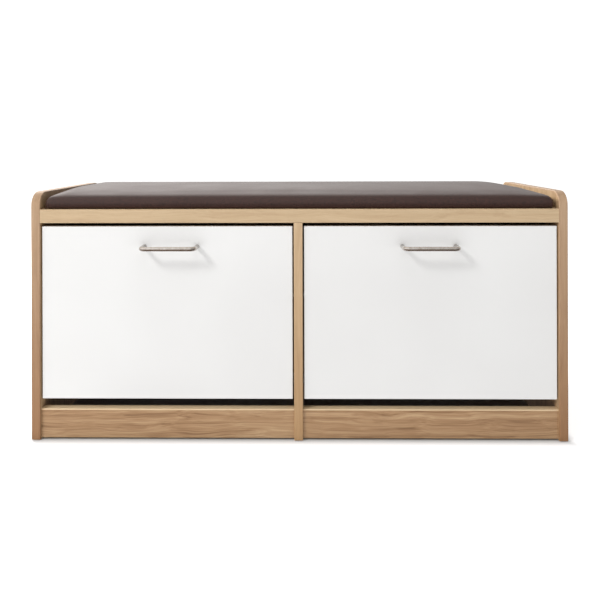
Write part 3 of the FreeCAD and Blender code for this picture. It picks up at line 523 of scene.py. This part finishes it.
def raw_wood(name, pale, dark, ply):
    """Unfinished wood, long grain along X, in layers of a given thickness along Z."""
    material, tree, shader, place = start(name, Roughness=0.7)
    stretched = add(tree, "Mapping", {"Vector": place, "Scale": (14.0, 420.0, 420.0)})
    grain = add(tree, "TexNoise", {"Vector": stretched.outputs[0], "Scale": 1.0, "Detail": 4.0})
    split = add(tree, "SeparateXYZ", {0: place})
    layer = add(tree, "Math", {0: split.outputs["Z"], 1: 2 * ply}, operation="FLOORED_MODULO")
    crossed = add(tree, "Math", {0: layer.outputs[0], 1: ply}, operation="LESS_THAN")
    depth = add(tree, "Math", {0: crossed.outputs[0], 1: 0.18}, operation="MULTIPLY")
    tone = add(tree, "Math", {0: grain.outputs[0], 1: depth.outputs[0]}, operation="SUBTRACT")
    colour = add(tree, "ValToRGB", {0: tone.outputs[0]}, stops=((0.25, dark), (0.65, pale)))
    bump = add(tree, "Bump", {"Height": grain.outputs[0], "Distance": 0.08 * MM, "Strength": 0.5})
    tree.links.new(colour.outputs[0], shader.inputs["Base Color"])
    tree.links.new(bump.outputs[0], shader.inputs["Normal"])
    return material


brown_board = hardboard("brown_hardboard", "#4B382B", "#2A1E17")
plywood = raw_wood("poplar_plywood", "#DCC49A", "#B08E5E", VENEER)
beech = raw_wood("beech_dowel", "#D9B48A", "#B98B5E", THICKER_THAN_A_DOWEL)
print("hardboard, plywood and beech")

# %% [markdown]
# ## Brown faux leather
#
# The seat is covered with a coated fabric, embossed with a pebble grain and lacquered to a soft
# sheen. Seen along the seat, it mirrors the pale room and turns grey, while the front stays dark
# brown. That is plain Fresnel reflection, so it needs no trick: a medium roughness and a true
# colour do it. A Voronoi texture's distance to an edge draws the pebbles, with a little noise so
# that their valleys aren't straight. The valleys are also darkened in colour, as painted shade.
# The real pebbles are about a millimetre across, too fine to show here, so they are drawn at about
# two.


# %% Faux leather
PEBBLE = 2.0 * MM


def faux_leather(name, colour, worn):
    """Coated fabric with a pebble grain: valleys darkened as painted shade, and patches that are paler and
    shinier from wear.
    """
    material, tree, shader, place = start(name, IOR=1.5)
    jitter = add(tree, "TexNoise", {"Vector": place, "Scale": 260.0, "Detail": 2.0})
    shift = add(tree, "VectorMath", {0: jitter.outputs["Color"], 1: (1.2 * MM,) * 3},
                operation="MULTIPLY")
    loose = add(tree, "VectorMath", {0: place, 1: shift.outputs[0]}, operation="ADD")
    cells = add(tree, "TexVoronoi", {"Vector": loose.outputs[0], "Scale": 1 / PEBBLE},
                feature="DISTANCE_TO_EDGE")
    valley = add(tree, "MapRange", {0: cells.outputs["Distance"], 1: 0.0, 2: 0.22})
    patches = add(tree, "TexNoise", {"Vector": place, "Scale": 11.0, "Detail": 3.0})
    tint = add(tree, "Mix", {0: patches.outputs[0], 6: linear(colour), 7: linear(worn)},
               data_type="RGBA")
    # The valleys are darkened in colour: painted shade, besides their bump.
    painted_valley_shade = add(tree, "Mix", {0: valley.outputs[0], 6: linear("#241815"), 7: tint.outputs[2]},
               data_type="RGBA")
    sheen = add(tree, "MapRange", {0: patches.outputs[0], 1: 0.3, 2: 0.7, 3: 0.38, 4: 0.31})
    bump = add(tree, "Bump", {"Height": valley.outputs[0], "Distance": 0.12 * MM, "Strength": 0.35})
    tree.links.new(painted_valley_shade.outputs[2], shader.inputs["Base Color"])
    tree.links.new(sheen.outputs[0], shader.inputs["Roughness"])
    tree.links.new(bump.outputs[0], shader.inputs["Normal"])
    return material


leather = faux_leather("brown_faux_leather", "#432822", "#4C332D")
print("faux leather")

# %% [markdown]
# ## Dress the CAD pieces
#
# The record says which finish each CAD node has. Most finishes are one material, so a table by
# finish does it. Oak depends on how the board lies, because the print runs along it, so those nodes
# are looked up by name.

# %% Give every node its material
FINISHES = {
    "white_gloss_board": door_laminate,
    "white_edging": door_edging,
    "brown_hardboard": brown_board,
    "polished_nickel": nickel,
    "black_plastic": wing_plastic,
    "white_nylon": nylon,
    "beech": beech,
    "zinc_alloy": zinc_cast,
    "zinc_plated_steel": zinc_plate,
    "plywood": plywood,
    "brown_faux_leather": leather,
    "pad_foam": leather,
}
OAK_BY_NAME = {
    "seat_board_edging": seat_edging,
    "plinth_edging": plinth_edging,
    "divider_edging": divider_edging,
    "side_edging": side_edging,
    "seat_board": seat_laminate,
    "plinth": plinth_laminate,
    "rear_rail": rail_laminate,
    "panel": upright_laminate,
    "divider": upright_laminate,
}


def finish_of(node, slot):
    """The material for a node: by its slot, or for oak by the first name that its own name ends with."""
    if slot in FINISHES:
        return FINISHES[slot]
    return next(material for ending, material in OAK_BY_NAME.items() if node.endswith(ending))


for part in frame["record"]["subparts"]:
    mesh = nodes[part["node"]].data
    mesh.materials.clear()
    mesh.materials.append(finish_of(part["node"], part["material_slot"]))

# %% [markdown]
# ## Bow handles
#
# Each handle is a round bar, bent at both ends, with its feet flat on the door. A curve with a
# round bevel would do, but the same thing is made more plainly with the tools that bend a bar:
# start from a disc on the door, extrude the foot, spin the bend, extrude the grip, and so on back
# to the door. Its place and its size come from the CAD handle's box. Faces with four corners are
# shaded smooth and the two flat ends are not.


# %% Bend the handles
BAR_SIDES = 32
BEND_STEPS = 10
BEND_TO_RADIUS = 2.0


def bow_handle(name, node, body):
    """A bent bar in the place of a CAD handle, taken from that node's box."""
    low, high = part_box(node)
    radius = (high.z - low.z) / 2
    bend = BEND_TO_RADIUS * radius
    left, height = low.x + radius, low.z + radius
    grip_y = low.y + radius
    bm = bmesh.new()
    disc = bmesh.ops.create_circle(bm, cap_ends=True, segments=BAR_SIDES, radius=radius)
    facing = Vector((0, 0, 1)).rotation_difference(Vector((0, -1, 0)))
    bmesh.ops.rotate(bm, verts=disc["verts"], matrix=facing.to_matrix())
    bmesh.ops.translate(bm, verts=disc["verts"], vec=(left, high.y, height))
    ring = [edge for edge in bm.edges]
    foot = high.y - grip_y - bend
    grip = high.x - low.x - 2 * radius - 2 * bend
    steps = (("run", (0, -foot, 0)), ("turn", (left + bend, grip_y + bend)), ("run", (grip, 0, 0)),
             ("turn", (high.x - radius - bend, grip_y + bend)), ("run", (0, foot, 0)))
    for kind, value in steps:
        if kind == "run":
            grown = bmesh.ops.extrude_edge_only(bm, edges=ring)["geom"]
            moved = [v for v in grown if isinstance(v, bmesh.types.BMVert)]
            bmesh.ops.translate(bm, verts=moved, vec=value)
        else:
            spun = bmesh.ops.spin(bm, geom=ring, cent=(*value, height), axis=(0, 0, 1),
                                  angle=math.radians(90), steps=BEND_STEPS, use_merge=False)
            grown = spun["geom_last"]
        ring = [edge for edge in grown if isinstance(edge, bmesh.types.BMEdge)]
    bmesh.ops.contextual_create(bm, geom=ring)
    bmesh.ops.recalc_face_normals(bm, faces=bm.faces)
    for face in bm.faces:
        face.smooth = len(face.verts) == 4
    mesh = bpy.data.meshes.new(name)
    bm.to_mesh(mesh)
    bm.free()
    mesh.materials.append(nickel)
    handle = bpy.data.objects.new(name, mesh)
    bpy.context.scene.collection.objects.link(handle)
    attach(handle, body)
    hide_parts(node)
    return handle


for side in ("left", "right"):
    handle = bow_handle(side + "_bow_handle", side + "_handle", side + "_flap")
    print(handle.name, "has", len(handle.data.polygons), "faces")

# %% [markdown]
# ## Seat pad
#
# The pad is foam on a plywood base, with the covering pulled over and stapled underneath. Pulling
# rounds the edges and leaves a low dome. The covering bulges a little above the seat and tucks in
# below, and gathers into small pleats at the corners. It takes four steps, and the tucks and pleats
# come last, because a remesh would wipe them out.
#
# The first step is a block with a rounded upper rim, a little smaller than the CAD pad, because the
# cloth will swell. A cube scaled to size and bevelled has long thin faces, which cloth can't bend,
# so a voxel remesh makes them small and even.

# %% Block out the pad
SHOULDER = 23 * MM
ROLL = 11 * MM
ROLL_SEGMENTS = 8
SLACK = 0.5 * MM
VOXEL = 5 * MM

pad_low, pad_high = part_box("seat_pad_cover")
seat = pad_low.z
bm = bmesh.new()
bmesh.ops.create_cube(bm, size=1.0)
size = pad_high - pad_low
middle = (pad_low + pad_high) / 2
bmesh.ops.scale(bm, verts=bm.verts, vec=(size.x - 2 * SLACK, size.y - 2 * SLACK, SHOULDER))
bmesh.ops.translate(bm, verts=bm.verts, vec=(middle.x, middle.y, seat + SHOULDER / 2))
rim = [e for e in bm.edges if all(v.co.z > seat + SHOULDER / 2 for v in e.verts)]
bmesh.ops.bevel(bm, geom=rim, offset=ROLL, segments=ROLL_SEGMENTS, profile=0.5, affect="EDGES",
                material=-1)
pad_mesh = bpy.data.meshes.new("seat_pad")
bm.to_mesh(pad_mesh)
bm.free()
pad = bpy.data.objects.new("seat_pad", pad_mesh)
bpy.context.scene.collection.objects.link(pad)
remesh = pad.modifiers.new("even_faces", "REMESH")
remesh.mode = "VOXEL"
remesh.voxel_size = VOXEL
remeshed = pad.evaluated_get(bpy.context.evaluated_depsgraph_get())
pad_mesh = bpy.data.meshes.new_from_object(remeshed)
pad.modifiers.clear()
pad.data = pad_mesh
print("pad has", len(pad_mesh.polygons), "even faces")

# %% [markdown]
# ## The dome
#
# The foam is thicker in the middle, so the top rises from the rim, quickly at first and then ever
# more slowly. Each vertex is lifted by how far it is from the four sides, and by how high it
# already is, so the bottom stays flat. The real pad is steeper at its left end. Proportional
# editing by hand would give the same shape, but not the same one each time.


# %% Lift the dome
CROWN = 13 * MM
RISE_LEFT = 45 * MM
RISE_RIGHT = 85 * MM
RISE_FRONT = 95 * MM


def ease(distance, reach):
    """0 at an edge, 1 from a reach inwards, steep at first."""
    return math.sin(math.pi / 2 * min(max(distance / reach, 0.0), 1.0))


for vertex in pad_mesh.vertices:
    x, y, z = vertex.co
    along = ease(x - pad_low.x, RISE_LEFT) * ease(pad_high.x - x, RISE_RIGHT)
    across = ease(y - pad_low.y, RISE_FRONT) * ease(pad_high.y - y, RISE_FRONT)
    share = min(max((z - seat) / SHOULDER, 0.0), 1.0)
    vertex.co.z += CROWN * along * across * share
crown = max(v.co.z for v in pad_mesh.vertices) - seat
print("crown is at", round(crown / MM, 1), "mm above the seat")

# %% [markdown]
# ## The covering
#
# A covering under tension bulges where it is free and lies still where it is fastened. A short
# cloth simulation with air pressure inside and no gravity finds out how far each point bulges.
# Cloth alone would also be drawn in at the sides, which firm foam doesn't allow, so only the
# outward part of the movement is kept, up to a cap. A few rounds of smoothing then even out the
# tension, as a hand that strokes the covering does.

# %% Swell it as cloth
PRESSURE = 4.0
SWELL_CAP = 1.0 * MM
FRAMES = 20
CLOTH_QUALITY = 5
RELAX_ROUNDS = 5
FASTENED_BELOW = seat + 2 * MM


def swell(piece, held_below):
    """Inflates a piece as cloth and keeps how far it swelled, up to the cap. The foam behind the covering
    stops it from moving inwards, and vertices below a height are held where they are."""
    held = piece.vertex_groups.new(name="held")
    held.add([v.index for v in piece.data.vertices if v.co.z < held_below], 1.0, "REPLACE")
    before = [v.co.copy() for v in piece.data.vertices]
    cloth = piece.modifiers.new("cloth", "CLOTH")
    cloth.settings.quality = CLOTH_QUALITY
    cloth.settings.use_pressure = True
    cloth.settings.uniform_pressure_force = PRESSURE
    cloth.settings.vertex_group_mass = "held"
    cloth.settings.effector_weights.gravity = 0.0
    cloth.point_cache.frame_start = 1
    cloth.point_cache.frame_end = FRAMES
    for number in range(1, FRAMES + 1):
        bpy.context.scene.frame_set(number)
    result = piece.evaluated_get(bpy.context.evaluated_depsgraph_get()).data
    outward = [v.normal.copy() for v in piece.data.vertices]
    swelling = [(v.co - start_at).dot(normal)
                for v, start_at, normal in zip(result.vertices, before, outward)]
    piece.modifiers.clear()
    bpy.context.scene.frame_set(1)
    for vertex, start_at, normal, amount in zip(piece.data.vertices, before, outward, swelling):
        vertex.co = start_at + normal * min(max(amount, 0.0), SWELL_CAP)
    piece.vertex_groups.clear()
    return max(swelling)


def relax(piece, held_below):
    """Evens out the covering's tension: each free vertex moves towards the middle of its neighbours."""
    bm = bmesh.new()
    bm.from_mesh(piece.data)
    free = [v for v in bm.verts if v.co.z > held_below]
    for _ in range(RELAX_ROUNDS):
        bmesh.ops.smooth_vert(bm, verts=free, factor=0.5, use_axis_x=True, use_axis_y=True,
                              use_axis_z=True)
    bm.to_mesh(piece.data)
    bm.free()


print("cloth moved up to", round(swell(pad, FASTENED_BELOW) / MM, 1), "mm")
relax(pad, FASTENED_BELOW)

# %% [markdown]
# ## Tucks and pleats
#
# Where the covering goes under the pad it is drawn in, unevenly, as staples are never in a straight
# line. At a corner there is too much of it, and it is folded into pleats that fade out upwards.
# Each vertex moves along the line from an inner rectangle through it, so the pleats fan out around
# the corner. The depths come from smooth noise and a bell curve. Sculpting would do too, but this
# follows the pad if its size changes.

# %% Tuck the covering in and gather the corners
SEED = 7
TUCK_HEIGHT = 7 * MM
TUCK_DEPTH = 1.0 * MM
PLEAT_DEPTH = 1.3 * MM
PLEAT_WIDTH = 3.2 * MM
PLEAT_HEIGHT = 19 * MM
PLEAT_ANGLES = (-34, -9, 12, 37)
PLEAT_CORE = 14 * MM
PUCKER_DEPTH = 0.35 * MM
PUCKER_HEIGHT = 9 * MM
INSIDE = 4 * MM
CLEAR = 0.4 * MM

inner_low = Vector((pad_low.x + PLEAT_CORE, pad_low.y + PLEAT_CORE, seat))
inner_high = Vector((pad_high.x - PLEAT_CORE, pad_high.y - PLEAT_CORE, seat))
for vertex in pad_mesh.vertices:
    x, y, z = vertex.co
    core = Vector((min(max(x, inner_low.x), inner_high.x), min(max(y, inner_low.y), inner_high.y), z))
    outward = vertex.co - core
    reach = outward.length
    height = z - seat
    if reach > INSIDE:
        outward.normalize()
        wobble = 1.0 + 0.35 * noise.noise(Vector((x * 9, y * 9, SEED)))
        tuck = max(0.0, 1 - height / (TUCK_HEIGHT * wobble)) ** 1.5 * TUCK_DEPTH
        pucker = PUCKER_DEPTH * noise.noise(Vector((x * 38, y * 38, SEED + 3)))
        vertex.co += outward * (pucker * math.exp(-height / PUCKER_HEIGHT) - tuck)
        if abs(outward.x) > 0.15 and abs(outward.y) > 0.15:
            turn = math.degrees(math.atan2(abs(outward.y), abs(outward.x))) - 45
            fade = max(0.0, 1 - height / PLEAT_HEIGHT)
            for number, angle in enumerate(PLEAT_ANGLES):
                gap = math.radians(turn - angle) * reach
                groove = math.exp(-(gap / (PLEAT_WIDTH / 2)) ** 2)
                vertex.co -= outward * PLEAT_DEPTH * groove * fade * (0.7 + 0.3 * (number % 2))
    vertex.co.z = max(vertex.co.z, seat + CLEAR)
print("tucked in up to", round(TUCK_DEPTH / MM, 1), "mm, with", len(PLEAT_ANGLES), "pleats a corner")

# %% [markdown]
# ## Finish the pad
#
# One level of subdivision rounds off the remeshed faces. The pad rides on the cabinet and stands in
# for the covering and the foam of the CAD model.

# %% Finish the pad
for polygon in pad_mesh.polygons:
    polygon.use_smooth = True
finer = pad.modifiers.new("finer", "SUBSURF")
finer.levels = finer.render_levels = 1
pad_mesh.materials.append(leather)
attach(pad, "cabinet")
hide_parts("seat_pad_cover", "seat_pad_foam")
top = max(v.co.z for v in pad_mesh.vertices) - seat
print("pad top is", round(top / MM, 1), "mm above the seat")

# %% [markdown]
# ## Compare the sizes
#
# The finished model has to stay the size of the CAD model. Its box is measured again and set against
# the CAD box, and the growth at the high corner is printed.

# %% Measure the finished box and finish
visual_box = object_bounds()
growth = [round((b - a) / MM, 1) for a, b in zip(cad_box[1], visual_box[1])]
print("grown by", growth, "mm at the high corner")
